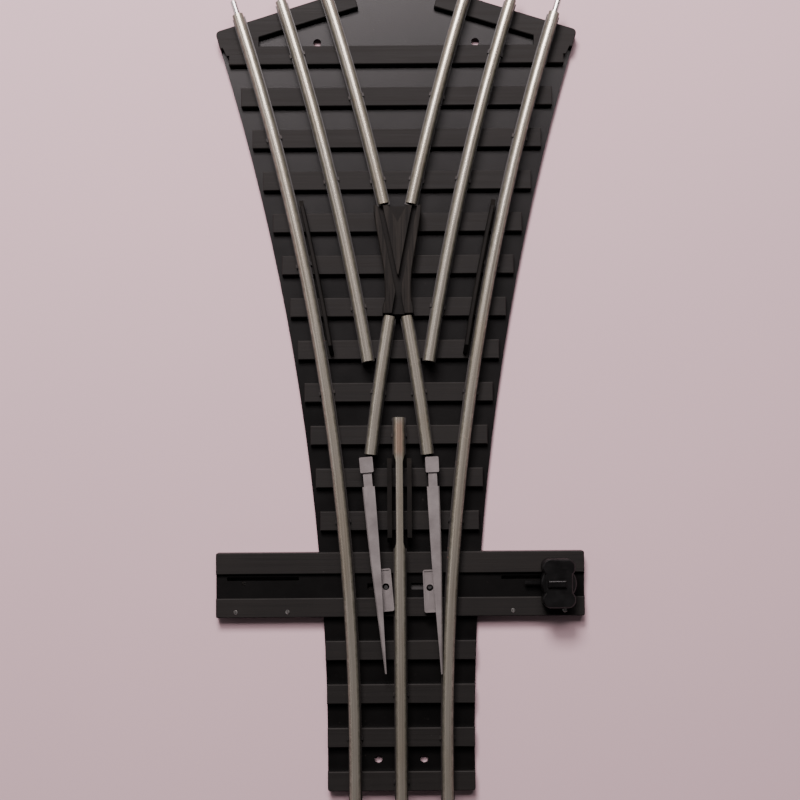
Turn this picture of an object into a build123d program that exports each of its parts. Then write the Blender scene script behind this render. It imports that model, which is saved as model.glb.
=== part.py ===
from build123d import *
import math
import os

# Three-rail wye turnout: one stem and two curved legs on a moulded tie base.
# Millimetres. While modelling, Y = 0 is the stem end of the base and +Y runs
# towards the legs. X = 0 is the line of symmetry and Z = 0 the underside.
# export_all() moves everything so that the origin is centred in plan.

# ---------------------------------------------------------------- dimensions
# Track
GAUGE = 31.75                     # between the running rails' heads
HEAD_DIA = 4.3
TUBE_BORE = 2.6                   # inside of the rolled rail head
FOOT_WIDTH = 5.2
FOOT_THICK = 0.6
RAIL_WEB = 1.3                    # two layers of sheet below the head
RAIL_TOP = 11.1
CURVE_RADIUS = 990.0              # centre line of each leg
CURVE_START = 14.4                # where the stem ends and the curve begins
LEG_ANGLE = 17.5                  # turn of each leg at the rail ends
RAIL_OVERHANG = 5.2               # rails stand past the base at the stem
LEG_CENTER_START = 168.2
STEM_RAIL_END = 146.1
NARROW_HALF = 1.3                 # pinched stretch of the stem's power rail
NARROW_FOOT_HALF = 1.6
NARROW_NEAR = 97.2
NARROW_FAR = 128.8
NARROW_TAPER = 2.7
CLOSURE_START = 131.6
JOINT_GAP = 0.8

# Base
WEB_TOP = 2.2
WEB_UNDERSIDE = 1.0
TIE_TOP = 4.8
TIE_PITCH = 16.93
TIE_WIDTH = 7.6
TIE_COUNT = 18
MISSING_TIES = (4, 5)             # the cross-plate lies there
SOLID_TIES = (3, 8, 10)           # carry the straps' rivets and the pivots
TIE_CHAMFER = 0.35
TIE_WALL = 1.3
TIE_ROOF = 1.1
TIE_END_INSET = 1.5
STEM_HALF_WIDTH = 28.9
END_TIE_ANGLE = 17.15
FILL_EDGE_X = 55.2
RIM = 1.6
STEM_CORNER_R = 1.2
LEG_CORNER_R = 2.2

# Cross-plate that carries the hand throw
PLATE_HALF = 72.6
PLATE_NEAR = 67.7
PLATE_FAR = 93.1
CHANNEL_NEAR = 75.2
CHANNEL_FAR = 84.65
CHANNEL_FLOOR = 3.4
PLATE_CORNER_R = 0.7
CAVITY_TOP = 2.4
CAVITY_HALF = 69.0
CAVITY_NEAR = 74.2
CAVITY_FAR = 86.7
COVER_THICK = 0.5
COVER_HALF = 71.0
COVER_NEAR = 68.5
COVER_FAR = 90.4
ARM_SLOT = (40.0, 68.3, 82.1, 83.5)
PEG_SLOT_GAP = 0.5
EMPTY_PIVOT_R = 0.9

# Holes for track screws
STEM_HOLE_X = 9.0
STEM_HOLE_Y = 11.9
LEG_HOLE_X = 31.8
LEG_HOLE_Y = 297.4
TRACK_HOLE_R = 1.6

# Frog, guards and power guards
FROG_NEAR = 186.8
FROG_FAR = 229.7
FROG_TOP = 10.9
FROG_CHAMFER = 0.3
FROG_HALF_OUTLINE = (             # right half, from the points' side on
    (6.15, FROG_NEAR),
    (6.15, 189.0),
    (5.1, 193.0),
    (5.1, 197.5),
    (5.5, 204.0),
    (9.35, 227.0),
    (9.35, FROG_FAR),
)
THROAT_HALF = 2.6
THROAT_POINT = 203.0
NOTCH_HALF = 4.2
NOTCH_POINT = 223.0
GROOVE_WIDTH = 2.1
GROOVE_FLOOR = 8.2
GROOVE_OFFSET = 1.6               # inward from the inner rail's centre line
GUARD_NEAR = 171.5
GUARD_FAR = 232.5
GUARD_OFFSET = 4.4
GUARD_WIDTH = 1.6
GUARD_TOP = 10.2
GUARD_RAMP = 3.0
RAMP_FOOT = 2.0                   # height left at the ends of a guard's ramps
POWER_GUARD_NEAR = 97.0
POWER_GUARD_FAR = 130.0
POWER_GUARD_X = 3.9
POWER_GUARD_WIDTH = 1.8
POWER_GUARD_TOP = 9.4
POWER_GUARD_RAMP = 2.0
POWER_RAMP_FOOT = 1.6

# Points
PIVOT_X = 12.85
PIVOT_Y = 127.4
PIVOT_R = 1.2
PIVOT_BOSS_R = 3.0
PIVOT_HEAD_R = 2.0
POINT_SWING = 7.2                 # degrees, closed to open
CLOSED_ANGLE = 2.23               # closed blade's lean from the Y axis
BLADE_TIP_Y = 46.1
BLADE_BOTTOM = 5.7
BLADE_TOP = 10.6
BLADE_HALF_WIDTHS = ((-8.5, 2.42), (-15.0, 2.35), (-28.0, 2.15), (-39.0, 1.9), (-57.7, 1.2))
TIP_HALF = 0.3
BLADE_FACET = 0.45
HEEL_HALF = 2.6
HEEL_NEAR = -2.9
HEEL_FAR = 3.2
HEEL_BOTTOM = 5.0
NECK_HALF = 1.7
NECK_DROP = 0.6
BORE_TOP = 9.4
EAR_LEVER = 48.1                  # pivot to peg hole, along the blade
EAR_OFFSET = 3.1                  # pivot to peg hole, across the blade
EAR_EDGE = 2.5                    # hole's centre to the ear's outer edge
EAR_NEAR = -57.7
EAR_FAR = -41.1
EAR_TOP = 7.4
EAR_RIM = 0.5
EAR_PAN = 7.1                     # sunk face inside the ear's rim
EAR_HOLE_R = 1.35

# Hand throw
PEG_R = 0.8
PEG_TOP = 6.4
BAR_BOTTOM = 0.7
BAR_TOP = 2.1
BAR_HALF_WIDTH = 2.3
LAP_NEAR = 12.0
LAP_FAR = 19.0
LAP_Z = 1.35
DRAWBAR_TOP = 1.3
FORK_GAP = 0.3
FORK_PRONG = 2.0
FORK_END = 74.6
KNOB_X = 61.7
KNOB_Y = 81.0
SHAFT_R = 1.0
BUSH_R = 1.5
RUNNING_GAP = 0.05
CRANK_PIN_R = 0.7
CRANK_DISC_R = 5.2
CRANK_LOW = 1.6
CRANK_HIGH = 2.3
KNOB_BOTTOM = 5.1
KNOB_TOP = 14.5
KNOB_BORE_TOP = 11.0
SKIRT_R = 6.0
SKIRT_TOP = 7.6
GRIP_HALF_LENGTH = 9.5
GRIP_TOP = 13.3
LOBE_HALF_WIDTH = 6.4
LOBE_HALF_LENGTH = 3.3
LOBE_R = 3.1
WAIST_HALF = 5.3
HUB_R = 6.9
HUB_TOP = 12.2
KNOB_EDGE = 0.5
RIDGE_HALF = 1.3
RIDGE_NEAR = -4.4
RIDGE_FAR = 2.6
POINTER_REACH = 12.7
POINTER_HALF = 0.6
SPRING_NEAR = 26.0
SPRING_FAR = 50.0
SPRING_THICK = 0.25

# Fasteners and straps
PIN_R = 1.25
PIN_FREE = 6.0
PIN_CHAMFER = 0.4
PIN_INSERTED = 9.0
PIN_INSERTED_R = 1.05             # slimmer, because the tube around it curves
PIN_COLLAR = (1.2, 2.2)           # depth of the collar that grips the tube
CLIP_LENGTH = 1.4
CLIP_HEIGHT = 0.9
CLIP_OUTER = 3.1
CLIP_LIP = 2.3
STOCK_CLIP_TIES = (1, 6, 9, 12, 15)
CENTER_CLIP_TIES = (11, 14, 17)
INNER_CLIP_TIES = (14, 16)
CLOSURE_CLIP_TIE = 9
STEM_CLIP_TIES = (0, 2, 8)
RIVET_R = 0.8
STRAP_LOW = 0.3
STRAP_WIDTH = 3.6
RUNNING_STRAP_Y = 54.6
CENTER_STRAP_NEAR = 139.2
CENTER_STRAP_FAR = 173.1
COVER_RIVET_R = 0.7
COVER_RIVET_HEAD_R = 0.85
COVER_RIVET_HEAD = 0.25           # height of the head above the plate
COVER_RIVET_Y = 69.9
COVER_RIVETS_X = (-64.8, -44.4, 44.4, 64.8)
SCREW_R = 0.7
SCREW_TIP = 3.4                   # depth of the cover screws' holes
SCREW_HEAD_R = 1.2
SCREW_SLOT_HALF = 0.18
COVER_SCREW_Y = 88.6
COVER_SCREWS_X = (-55.0, 0.0, 55.0)

# ------------------------------------------------------------ derived values
RAIL_OFFSET = (GAUGE + HEAD_DIA) / 2
HEAD_Z = RAIL_TOP - HEAD_DIA / 2
STOCK_RADIUS = CURVE_RADIUS - RAIL_OFFSET
INNER_RADIUS = CURVE_RADIUS + RAIL_OFFSET
GROOVE_RADIUS = INNER_RADIUS - GROOVE_OFFSET
EDGE_RADIUS = CURVE_RADIUS - STEM_HALF_WIDTH
INNER_EDGE_RADIUS = CURVE_RADIUS + STEM_HALF_WIDTH
EAR_REACH = math.hypot(EAR_LEVER, EAR_OFFSET)
EAR_ANGLE = math.degrees(math.atan2(EAR_OFFSET, EAR_LEVER))
CLOSED_EAR_TURN = math.radians(EAR_ANGLE - CLOSED_ANGLE)
OPEN_EAR_TURN = math.radians(EAR_ANGLE - CLOSED_ANGLE + POINT_SWING)
OPEN_EAR_X = -PIVOT_X + EAR_REACH * math.sin(OPEN_EAR_TURN)
CLOSED_EAR_X = -PIVOT_X + EAR_REACH * math.sin(CLOSED_EAR_TURN)
OPEN_EAR_Y = PIVOT_Y - EAR_REACH * math.cos(OPEN_EAR_TURN)
CLOSED_EAR_Y = PIVOT_Y - EAR_REACH * math.cos(CLOSED_EAR_TURN)
THROW = OPEN_EAR_X - CLOSED_EAR_X
PEG_Y = (OPEN_EAR_Y + CLOSED_EAR_Y) / 2
LEFT_PEG_X = OPEN_EAR_X
RIGHT_PEG_X = -CLOSED_EAR_X
BAR_CENTRE = (LEFT_PEG_X + RIGHT_PEG_X) / 2
LAP_RIVET_X = BAR_CENTRE + (LAP_NEAR + LAP_FAR) / 2
CRANK_PIN_X = KNOB_X + THROW / 2
CRANK_PIN_Y = KNOB_Y - THROW / 2
OVER = RAIL_TOP + 1               # above everything that gets cut
UNDER = -1                        # below everything that gets cut


# ------------------------------------------------------------------- helpers
def leg_point(radius, angle):
    """Plan position on the left leg, at a radius and a turn in degrees."""
    turn = math.radians(angle)
    return (-CURVE_RADIUS + radius * math.cos(turn), CURVE_START + radius * math.sin(turn))


def angle_at(radius, y):
    """Turn of the leg, in degrees, where a circle of this radius reaches y."""
    return math.degrees(math.asin((y - CURVE_START) / radius))


def leg_location(radius, angle, z=0.0):
    """Frame on the left leg: X outward from the curve's centre, Y along the track."""
    x, y = leg_point(radius, angle)
    return Location((x, y, z), (0, 0, angle))


def right_of(left_shape):
    """The right-hand twin of a left-hand shape."""
    return mirror(left_shape, about=Plane.YZ)


def block(x_low, x_high, y_low, y_high, z_low, z_high):
    """Box between two corners."""
    box = Box(x_high - x_low, y_high - y_low, z_high - z_low)
    return Pos((x_low + x_high) / 2, (y_low + y_high) / 2, (z_low + z_high) / 2) * box


def rod(x, y, radius, z_low, z_high):
    """Upright cylinder."""
    return Pos(x, y, (z_low + z_high) / 2) * Cylinder(radius, z_high - z_low)


def prism(points, z_low, z_high):
    """Upright prism over a closed plan outline of straight lines."""
    outline = make_face(Polyline(*points, close=True))
    return Pos(0, 0, z_low) * extrude(outline, amount=z_high - z_low)


def ring_sector(radius_low, radius_high, angle_low, angle_high, z_low, z_high):
    """Curved bar that follows the left leg."""
    section = Plane.XZ * Pos((radius_low + radius_high) / 2, (z_low + z_high) / 2)
    face = section * Rectangle(radius_high - radius_low, z_high - z_low)
    swept = revolve(face, axis=Axis.Z, revolution_arc=angle_high - angle_low)
    return Pos(-CURVE_RADIUS, CURVE_START, 0) * Rot(0, 0, angle_low) * swept


# --------------------------------------------------------------------- rails
def rail_section(centre, hollow=True):
    """Tubular rail's section, standing in the XZ plane at X = centre."""
    place = Plane.XZ * Pos(centre, 0)
    head = place * Pos(0, HEAD_Z) * Circle(HEAD_DIA / 2)
    web = place * Pos(0, (TIE_TOP + HEAD_Z) / 2) * Rectangle(RAIL_WEB, HEAD_Z - TIE_TOP)
    foot = place * Pos(0, TIE_TOP + FOOT_THICK / 2) * Rectangle(FOOT_WIDTH, FOOT_THICK)
    section = head + web + foot
    if hollow:
        section = section - place * Pos(0, HEAD_Z) * Circle(TUBE_BORE / 2)
    return section


def straight_rail(x, y_low, y_high, hollow=True):
    """Straight stretch of rail along Y."""
    return Pos(0, y_high, 0) * extrude(rail_section(x, hollow), amount=y_high - y_low)


def curved_rail(radius, angle_low, angle_high):
    """Stretch of rail along the left leg's curve."""
    swept = revolve(rail_section(radius), axis=Axis.Z, revolution_arc=angle_high - angle_low)
    return Pos(-CURVE_RADIUS, CURVE_START, 0) * Rot(0, 0, angle_low) * swept


def left_stock_rail():
    """Outer running rail: straight on the stem, then round the leg."""
    return straight_rail(-RAIL_OFFSET, -RAIL_OVERHANG, CURVE_START) + curved_rail(STOCK_RADIUS, 0, LEG_ANGLE)


def stem_center_rail():
    """Power rail of the stem, pinched narrow where the points pass it."""
    near = straight_rail(0, -RAIL_OVERHANG, NARROW_NEAR - NARROW_TAPER)
    far = straight_rail(0, NARROW_FAR + NARROW_TAPER, STEM_RAIL_END)
    wide = HEAD_DIA / 2
    waist = [
        (-wide, NARROW_NEAR - NARROW_TAPER),
        (wide, NARROW_NEAR - NARROW_TAPER),
        (NARROW_HALF, NARROW_NEAR),
        (NARROW_HALF, NARROW_FAR),
        (wide, NARROW_FAR + NARROW_TAPER),
        (-wide, NARROW_FAR + NARROW_TAPER),
        (-NARROW_HALF, NARROW_FAR),
        (-NARROW_HALF, NARROW_NEAR),
    ]
    solid = straight_rail(0, NARROW_NEAR - NARROW_TAPER, NARROW_FAR + NARROW_TAPER, hollow=False)
    pinched = solid & prism(waist, TIE_TOP + FOOT_THICK, RAIL_TOP)
    half = NARROW_FOOT_HALF
    low = NARROW_NEAR - NARROW_TAPER
    high = NARROW_FAR + NARROW_TAPER
    foot = block(-half, half, low, high, TIE_TOP, TIE_TOP + FOOT_THICK)
    return near + far + pinched + foot


def left_leg_center_rail():
    """Power rail of the leg."""
    return curved_rail(CURVE_RADIUS, angle_at(CURVE_RADIUS, LEG_CENTER_START), LEG_ANGLE)


def left_leg_inner_rail():
    """Inner running rail of the leg, beyond the frog."""
    return curved_rail(INNER_RADIUS, angle_at(INNER_RADIUS, FROG_FAR + JOINT_GAP), LEG_ANGLE)


def closure_rail_of_left_leg():
    """Running rail from the heel of the right point to the frog; it serves the left leg."""
    start = angle_at(INNER_RADIUS, CLOSURE_START)
    return curved_rail(INNER_RADIUS, start, angle_at(INNER_RADIUS, FROG_NEAR - JOINT_GAP))


def leg_rail_pins():
    """Steel joining pins in the three rail ends of both legs."""
    pins = []
    for radius in (STOCK_RADIUS, CURVE_RADIUS, INNER_RADIUS):
        free = Cylinder(PIN_R, PIN_FREE)
        free = chamfer(free.edges().group_by(Axis.Z)[-1], PIN_CHAMFER)
        inserted = rod(0, 0, PIN_INSERTED_R, -PIN_INSERTED, 0)
        collar = rod(0, 0, TUBE_BORE / 2, -PIN_COLLAR[1], -PIN_COLLAR[0])
        body = Pos(0, 0, PIN_FREE / 2) * free + inserted + collar
        lying = Rot(-90, 0, 0) * body
        pin = leg_location(radius, LEG_ANGLE, HEAD_Z) * lying
        pins.append(pin)
        pins.append(right_of(pin))
    return Compound(children=pins)


def clip_pair():
    """Two bent tabs that hold a rail's foot, at the origin, rail along Y."""
    foot_edge = FOOT_WIDTH / 2
    low = TIE_TOP
    over = TIE_TOP + FOOT_THICK
    top = TIE_TOP + CLIP_HEIGHT
    tab = Polyline(
        (foot_edge, low),
        (CLIP_OUTER, low),
        (CLIP_OUTER, top),
        (CLIP_LIP, top),
        (CLIP_LIP, over),
        (foot_edge, over),
        close=True,
    )
    right = Pos(0, CLIP_LENGTH / 2, 0) * extrude(make_face(Plane.XZ * tab), amount=CLIP_LENGTH)
    return [right, mirror(right, about=Plane.YZ)]


def tie_center(index):
    """Y of a tie's centre line."""
    return index * TIE_PITCH + TIE_WIDTH / 2


def rail_clips():
    """Tabs at every few ties, on both sides of each rail."""
    clips = []
    for index in STOCK_CLIP_TIES:
        y = tie_center(index)
        if y < CURVE_START:
            place = Location((-RAIL_OFFSET, y, 0))
        else:
            place = leg_location(STOCK_RADIUS, angle_at(STOCK_RADIUS, y))
        clips += [place * tab for tab in clip_pair()]
    for radius, ties in ((CURVE_RADIUS, CENTER_CLIP_TIES), (INNER_RADIUS, INNER_CLIP_TIES)):
        for index in ties:
            place = leg_location(radius, angle_at(radius, tie_center(index)))
            clips += [place * tab for tab in clip_pair()]
    closure = leg_location(INNER_RADIUS, angle_at(INNER_RADIUS, tie_center(CLOSURE_CLIP_TIE)))
    clips += [closure * tab for tab in clip_pair()]
    clips += [right_of(clip) for clip in clips]
    for index in STEM_CLIP_TIES:
        clips += [Pos(0, tie_center(index), 0) * tab for tab in clip_pair()]
    return Compound(children=clips)


# ---------------------------------------------------------------------- base
def edge_x(y):
    """Half width of the base's web at y."""
    if y <= CURVE_START:
        return STEM_HALF_WIDTH
    return CURVE_RADIUS - math.sqrt(EDGE_RADIUS ** 2 - (y - CURVE_START) ** 2)


def web_outline(inset):
    """Plan outline of stem and legs, drawn in from the real edge by inset."""
    outer = EDGE_RADIUS + inset
    inner = INNER_EDGE_RADIUS - inset
    turn = END_TIE_ANGLE + math.degrees((TIE_WIDTH / 2 - inset) / CURVE_RADIUS)
    corner_x, corner_y = leg_point(outer, turn)
    middle_x, middle_y = leg_point(outer, turn / 2)
    fork_x, fork_y = leg_point(inner, turn)
    side = -CURVE_RADIUS + outer
    edges = [
        Line((side, inset), (-side, inset)),
        Line((-side, inset), (-side, CURVE_START)),
        ThreePointArc((-side, CURVE_START), (-middle_x, middle_y), (-corner_x, corner_y)),
        Line((-corner_x, corner_y), (-fork_x, fork_y)),
        Line((-fork_x, fork_y), (fork_x, fork_y)),
        Line((fork_x, fork_y), (corner_x, corner_y)),
        ThreePointArc((corner_x, corner_y), (middle_x, middle_y), (side, CURVE_START)),
        Line((side, CURVE_START), (side, inset)),
    ]
    return make_face(edges)


def slab(face, z_low, z_high):
    """Upright extrusion of a plan face."""
    return Pos(0, 0, z_low) * extrude(face, amount=z_high - z_low)


def end_tie():
    """Angled tie across the left leg's rail ends."""
    half_turn = math.degrees(TIE_WIDTH / 2 / CURVE_RADIUS)
    low = END_TIE_ANGLE - half_turn
    high = END_TIE_ANGLE + half_turn
    return eased(ring_sector(EDGE_RADIUS, INNER_EDGE_RADIUS, low, high, WEB_TOP, TIE_TOP))


def end_fill():
    """Raised corner that joins the last cross tie to the angled end tie."""
    y = TIE_PITCH * (TIE_COUNT - 1) + TIE_WIDTH / 2
    outer_x, outer_y = leg_point(EDGE_RADIUS + 0.6, END_TIE_ANGLE)
    inner_radius = (CURVE_RADIUS - FILL_EDGE_X) / math.cos(math.radians(END_TIE_ANGLE))
    inner_x, inner_y = leg_point(inner_radius, END_TIE_ANGLE)
    outline = [
        (-edge_x(y) + TIE_END_INSET + 0.3, y),
        (-FILL_EDGE_X, y),
        (inner_x, inner_y),
        (outer_x, outer_y),
    ]
    return prism(outline, WEB_TOP, TIE_TOP)


def eased(bar):
    """Small chamfers round the top face of a moulded bar."""
    return chamfer(bar.edges().group_by(Axis.Z)[-1], TIE_CHAMFER)


def base_ties():
    """Raised cross ties, except where the cross-plate replaces them."""
    ties = None
    for index in range(TIE_COUNT):
        if index in MISSING_TIES:
            continue
        y = index * TIE_PITCH
        half = edge_x(y)
        if index > max(MISSING_TIES):
            half -= TIE_END_INSET
        tie = eased(block(-half, half, y, y + TIE_WIDTH, WEB_TOP, TIE_TOP))
        ties = tie if ties is None else ties + tie
    return ties


def tie_pockets():
    """Hollows under the ties, open to the underside."""
    pockets = []
    for index in range(TIE_COUNT):
        if index in MISSING_TIES or index in SOLID_TIES:
            continue
        y = index * TIE_PITCH
        half = edge_x(y) - TIE_END_INSET - TIE_WALL - 1.0
        near = y + TIE_WALL
        far = y + TIE_WIDTH - TIE_WALL
        reach = half / 3 - TIE_WALL / 2
        for middle in (-2 * half / 3, 0, 2 * half / 3):
            pockets.append(block(middle - reach, middle + reach, near, far, 0, TIE_TOP - TIE_ROOF))
    return pockets


def cross_plate():
    """Arms across the stem: two raised strips with a sunk channel between them."""
    plate = block(-PLATE_HALF, PLATE_HALF, PLATE_NEAR, PLATE_FAR, 0, CHANNEL_FLOOR)
    near = eased(block(-PLATE_HALF, PLATE_HALF, PLATE_NEAR, CHANNEL_NEAR, CHANNEL_FLOOR, TIE_TOP))
    far = eased(block(-PLATE_HALF, PLATE_HALF, CHANNEL_FAR, PLATE_FAR, CHANNEL_FLOOR, TIE_TOP))
    return plate + near + far


def strap_rivet_places():
    """Plan places of the rivets that join the bus straps to the rails."""
    stock = leg_point(STOCK_RADIUS, angle_at(STOCK_RADIUS, RUNNING_STRAP_Y))[0]
    leg = leg_point(CURVE_RADIUS, angle_at(CURVE_RADIUS, CENTER_STRAP_FAR))[0]
    running = [(stock, RUNNING_STRAP_Y), (-stock, RUNNING_STRAP_Y)]
    center = [(0, CENTER_STRAP_NEAR), (leg, CENTER_STRAP_FAR), (-leg, CENTER_STRAP_FAR)]
    return running, center


def mount_holes():
    """Screw holes for fixing the turnout down."""
    holes = []
    for side in (-1, 1):
        holes.append(rod(side * STEM_HOLE_X, STEM_HOLE_Y, TRACK_HOLE_R, UNDER, OVER))
        holes.append(rod(side * LEG_HOLE_X, LEG_HOLE_Y, TRACK_HOLE_R, UNDER, OVER))
    return holes


def rounding(radius):
    """Cutter for an upright corner at the origin whose material lies at +X and -Y."""
    corner = block(-1, radius, -radius, 1, UNDER, OVER)
    return corner - rod(radius, -radius, radius, UNDER - 1, OVER + 1)


def corner_cutters():
    """Cutters that round the base's outside corners on the left."""
    end_turn = END_TIE_ANGLE + math.degrees(TIE_WIDTH / 2 / CURVE_RADIUS)
    stem = Pos(-STEM_HALF_WIDTH, 0, 0) * mirror(rounding(STEM_CORNER_R), about=Plane.XZ)
    leg = leg_location(EDGE_RADIUS, end_turn) * rounding(LEG_CORNER_R)
    inner = leg_location(INNER_EDGE_RADIUS, end_turn) * mirror(rounding(STEM_CORNER_R), about=Plane.YZ)
    far = Pos(-PLATE_HALF, PLATE_FAR, 0) * rounding(PLATE_CORNER_R)
    near = Pos(-PLATE_HALF, PLATE_NEAR, 0) * mirror(rounding(PLATE_CORNER_R), about=Plane.XZ)
    return [stem, leg, inner, far, near]


def tie_base():
    """The moulded base in one piece."""
    base = slab(web_outline(0), 0, WEB_TOP) - slab(web_outline(RIM), UNDER, WEB_UNDERSIDE)
    base = base + base_ties() + end_tie() + right_of(end_tie()) + end_fill() + right_of(end_fill())
    for index in SOLID_TIES:
        y = index * TIE_PITCH
        half = edge_x(y) - RIM
        base = base + block(-half, half, y, y + TIE_WIDTH, WEB_UNDERSIDE, WEB_TOP)
    for pocket in tie_pockets():
        base = base - pocket
    inner = STEM_HALF_WIDTH - RIM
    base = base - block(-inner, inner, PLATE_NEAR, PLATE_FAR, 0, WEB_TOP)
    base = base + cross_plate()
    base = base - block(-CAVITY_HALF, CAVITY_HALF, CAVITY_NEAR, CAVITY_FAR, UNDER, CAVITY_TOP)
    base = base - block(-COVER_HALF, COVER_HALF, COVER_NEAR, COVER_FAR, UNDER, COVER_THICK)
    for side in (-1, 1):
        base = base + rod(side * PIVOT_X, PIVOT_Y, PIVOT_BOSS_R, WEB_UNDERSIDE, TIE_TOP)
        base = base - rod(side * PIVOT_X, PIVOT_Y, PIVOT_R, UNDER, OVER)
        low = min(-side * CLOSED_EAR_X, -side * OPEN_EAR_X)
        high = max(-side * CLOSED_EAR_X, -side * OPEN_EAR_X)
        reach = PEG_R + PEG_SLOT_GAP
        base = base - block(low - reach, high + reach, PEG_Y - reach, PEG_Y + reach, CAVITY_TOP - 1, TIE_TOP)
        x_low, x_high, y_low, y_high = ARM_SLOT
        near, far = sorted((side * x_low, side * x_high))
        base = base - block(near, far, y_low, y_high, CAVITY_TOP - 1, CHANNEL_FLOOR + 1)
    base = base - rod(KNOB_X, KNOB_Y, BUSH_R, 0, TIE_TOP)
    base = base - rod(-KNOB_X, KNOB_Y, EMPTY_PIVOT_R, 0, TIE_TOP)
    for hole in mount_holes():
        base = base - hole
    for x in COVER_SCREWS_X:
        base = base - rod(x, COVER_SCREW_Y, SCREW_R, UNDER, SCREW_TIP)
    for x in COVER_RIVETS_X:
        base = base - rod(x, COVER_RIVET_Y, COVER_RIVET_R, UNDER, OVER)
    running, center = strap_rivet_places()
    for x, y in running + center:
        base = base - rod(x, y, RIVET_R, UNDER, OVER)
    for cutter in corner_cutters():
        base = base - cutter - right_of(cutter)
    return base


# ------------------------------------------------- frog, guards, power guards


def frog():
    """Moulded crossing: two curved flangeways, an island with a point, and wings."""
    outline = list(FROG_HALF_OUTLINE) + [(-x, y) for x, y in reversed(FROG_HALF_OUTLINE)]
    body = prism(outline, TIE_TOP, FROG_TOP)
    body = chamfer(body.edges().group_by(Axis.Z)[-1], FROG_CHAMFER)
    low = angle_at(GROOVE_RADIUS, FROG_NEAR - 3)
    high = angle_at(GROOVE_RADIUS, FROG_FAR + 3)
    half = GROOVE_WIDTH / 2
    groove = ring_sector(GROOVE_RADIUS - half, GROOVE_RADIUS + half, low, high, GROOVE_FLOOR, OVER)
    body = body - groove - right_of(groove)
    near = FROG_NEAR - 1
    far = FROG_FAR + 1
    throat = prism([(-THROAT_HALF, near), (THROAT_HALF, near), (0, THROAT_POINT)], GROOVE_FLOOR, OVER)
    notch = prism([(-NOTCH_HALF, far), (NOTCH_HALF, far), (0, NOTCH_POINT)], GROOVE_FLOOR, OVER)
    return body - throat - notch


def ramped_bar(width, length, z_low, z_high, ramp, end_height):
    """Bar along Y from the origin, with both ends ramped down."""
    profile = Polyline(
        (0, z_low),
        (length, z_low),
        (length, z_low + end_height),
        (length - ramp, z_high),
        (ramp, z_high),
        (0, z_low + end_height),
        close=True,
    )
    return Pos(-width / 2, 0, 0) * extrude(make_face(Plane.YZ * profile), amount=width)


def left_guard_rail():
    """Check rail inside the left stock rail, opposite the frog."""
    radius = STOCK_RADIUS + GUARD_OFFSET
    low = angle_at(radius, GUARD_NEAR)
    high = angle_at(radius, GUARD_FAR)
    half = GUARD_WIDTH / 2
    bar = ring_sector(radius - half, radius + half, low, high, TIE_TOP, GUARD_TOP)
    bar = chamfer(bar.edges().group_by(Axis.Z)[-1], FROG_CHAMFER)
    cutter = block(-GUARD_WIDTH, GUARD_WIDTH, -1, GUARD_TOP, 0, GUARD_TOP)
    slope = math.degrees(math.atan2(GUARD_TOP - TIE_TOP - RAMP_FOOT, GUARD_RAMP))
    near_cut = leg_location(radius, low, TIE_TOP + RAMP_FOOT) * Rot(slope, 0, 0) * cutter
    far_cut = leg_location(radius, high, TIE_TOP + RAMP_FOOT) * Rot(0, 0, 180) * Rot(slope, 0, 0) * cutter
    return bar - near_cut - far_cut


def right_center_guard():
    """Ridge beside the pinched stretch of the power rail, which lifts the pickup."""
    length = POWER_GUARD_FAR - POWER_GUARD_NEAR
    bar = ramped_bar(POWER_GUARD_WIDTH, length, TIE_TOP, POWER_GUARD_TOP, POWER_GUARD_RAMP, POWER_RAMP_FOOT)
    return Pos(POWER_GUARD_X, POWER_GUARD_NEAR, 0) * bar


# -------------------------------------------------------------------- points


def left_point():
    """Cast point blade in its open pose, with heel block, neck and rimmed ear."""
    tip = BLADE_TIP_Y - PIVOT_Y
    widths = BLADE_HALF_WIDTHS + ((tip, TIP_HALF),)
    outline = [(half, y) for y, half in widths] + [(-half, y) for y, half in reversed(widths)]
    blade = prism(outline, BLADE_BOTTOM, BLADE_TOP)
    top_edges = blade.edges().group_by(Axis.Z)[-1]
    stock_side = [edge for edge in top_edges if edge.center().X < -TIP_HALF / 2 and edge.length > 2]
    blade = chamfer(stock_side, BLADE_FACET)
    neck_far = BLADE_HALF_WIDTHS[0][0]
    neck = block(-NECK_HALF, NECK_HALF, neck_far - 1, HEEL_NEAR, BLADE_BOTTOM, BLADE_TOP - NECK_DROP)
    heel = block(-HEEL_HALF, HEEL_HALF, HEEL_NEAR, HEEL_FAR, HEEL_BOTTOM, BLADE_TOP)
    heel = fillet(heel.edges().filter_by(Axis.Z), 0.5)
    ear_outer = EAR_OFFSET + EAR_EDGE
    ear = block(0.5, ear_outer, EAR_NEAR, EAR_FAR, BLADE_BOTTOM, EAR_TOP)
    ear = fillet(ear.edges().filter_by(Axis.Z).group_by(Axis.X)[-1], 0.8)
    ear = ear - block(0, ear_outer - EAR_RIM, EAR_NEAR + EAR_RIM, EAR_FAR - EAR_RIM, EAR_PAN, EAR_TOP + 1)
    point = blade + neck + heel + ear
    point = point - rod(EAR_OFFSET, -EAR_LEVER, EAR_HOLE_R, 0, OVER)
    point = point - rod(0, 0, PIVOT_R + RUNNING_GAP, 0, BORE_TOP)
    return Pos(-PIVOT_X, PIVOT_Y, 0) * Rot(0, 0, POINT_SWING - CLOSED_ANGLE) * point


def right_point():
    """The same casting mirrored, in its closed pose against the right stock rail."""
    at_pivot = Pos(-PIVOT_X, PIVOT_Y, 0) * Rot(0, 0, -POINT_SWING) * Pos(PIVOT_X, -PIVOT_Y, 0)
    return right_of(at_pivot * left_point())


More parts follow.
